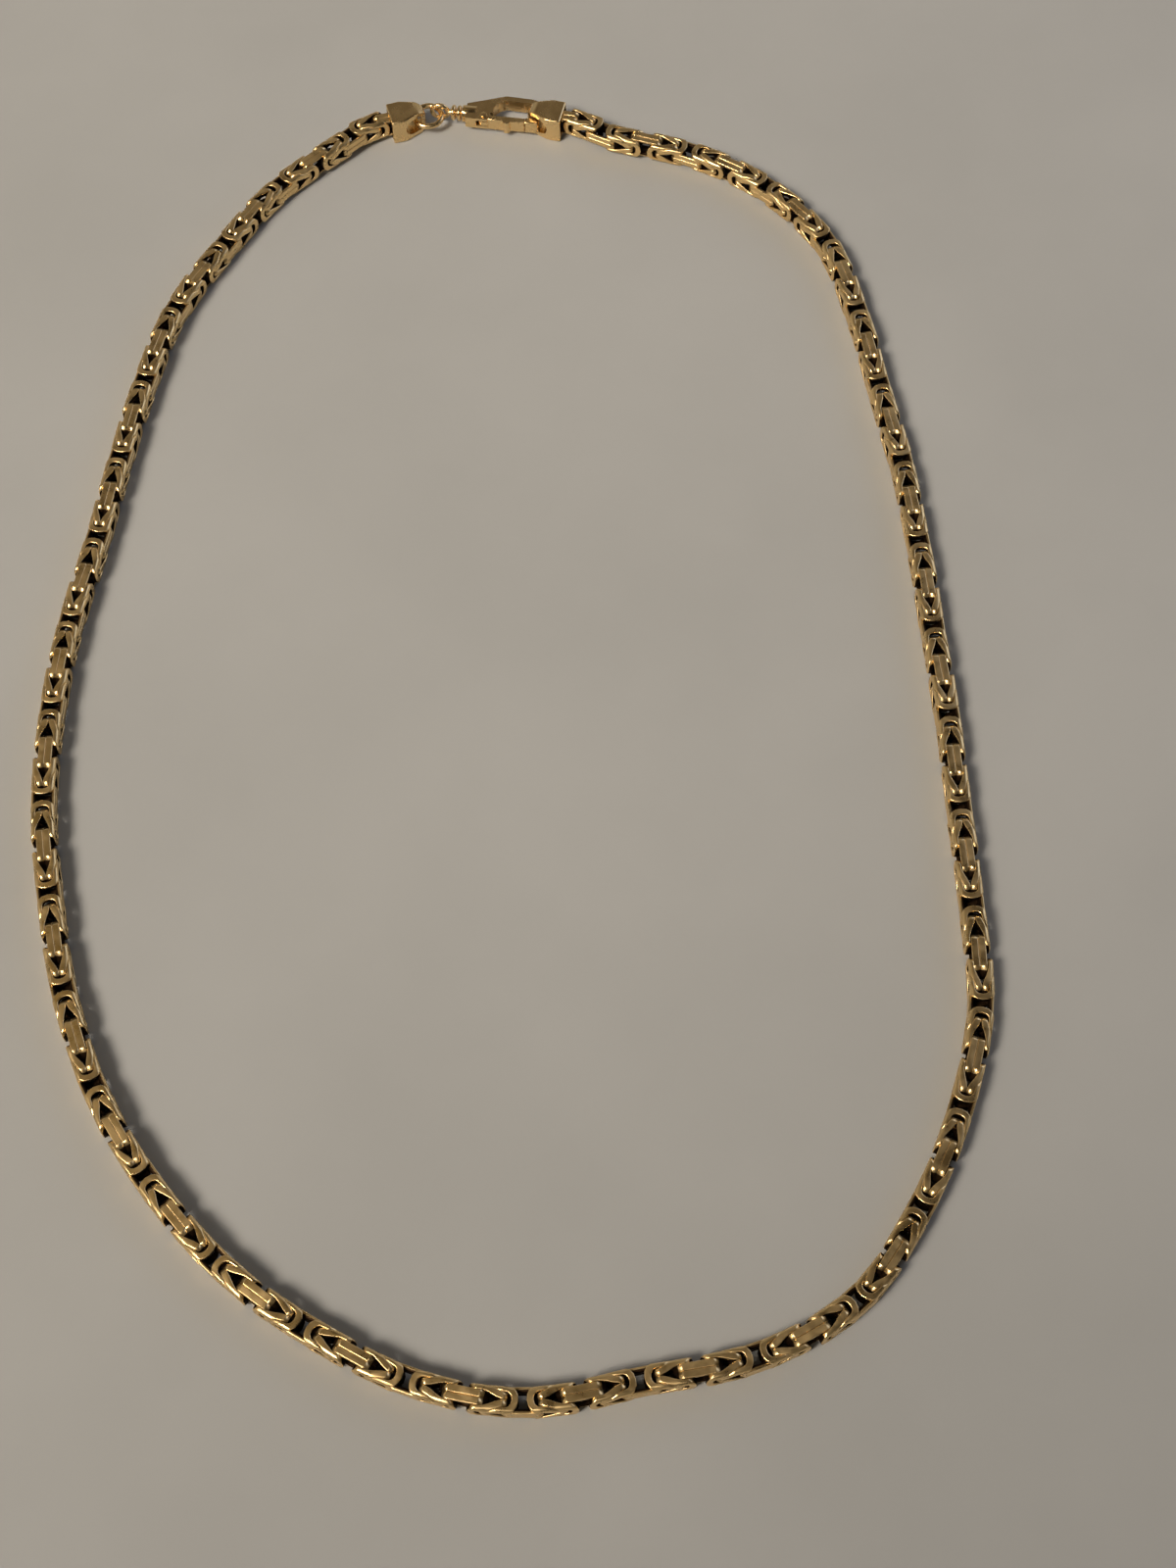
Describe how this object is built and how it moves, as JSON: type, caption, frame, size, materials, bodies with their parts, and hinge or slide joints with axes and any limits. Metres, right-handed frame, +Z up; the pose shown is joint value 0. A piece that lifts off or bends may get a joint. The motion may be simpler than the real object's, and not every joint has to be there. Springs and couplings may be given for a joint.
{
  "type": "byzantine chain necklace",
  "caption": "Square-section woven gold neck chain lying closed in an oval loop, with two end caps, a jump ring and a swivel lobster clasp.",
  "frame": {"origin": "middle of the closed loop, on the surface that the necklace lies on", "axes": "+Z up from the surface, +Y from the middle of the loop towards the clasp, +X towards the clasp's hook end"},
  "size_m": [0.1301, 0.2135, 0.0046],
  "materials": {
    "woven_gold": "polished yellow gold wire, woven",
    "polished_gold": "polished cast yellow gold"
  },
  "bodies": {
    "necklace": {"chain": "woven_gold", "end_cap_left": "polished_gold", "end_cap_right": "polished_gold", "jump_ring": "polished_gold", "clasp_swivel": "polished_gold", "clasp_body": "polished_gold", "lever_pin": "polished_gold"},
    "lever": {"clasp_lever": "polished_gold"}
  },
  "joints": [
    {"name": "lever_press", "type": "hinge", "parent": "necklace", "child": "lever", "pos_m": [0.0002, 0.10288, 0.00211], "axis": [0, 0, 1], "range_deg": [0, 20], "stiffness_Nm_per_rad": 0.004, "springref_deg": -22.92}
  ]
}
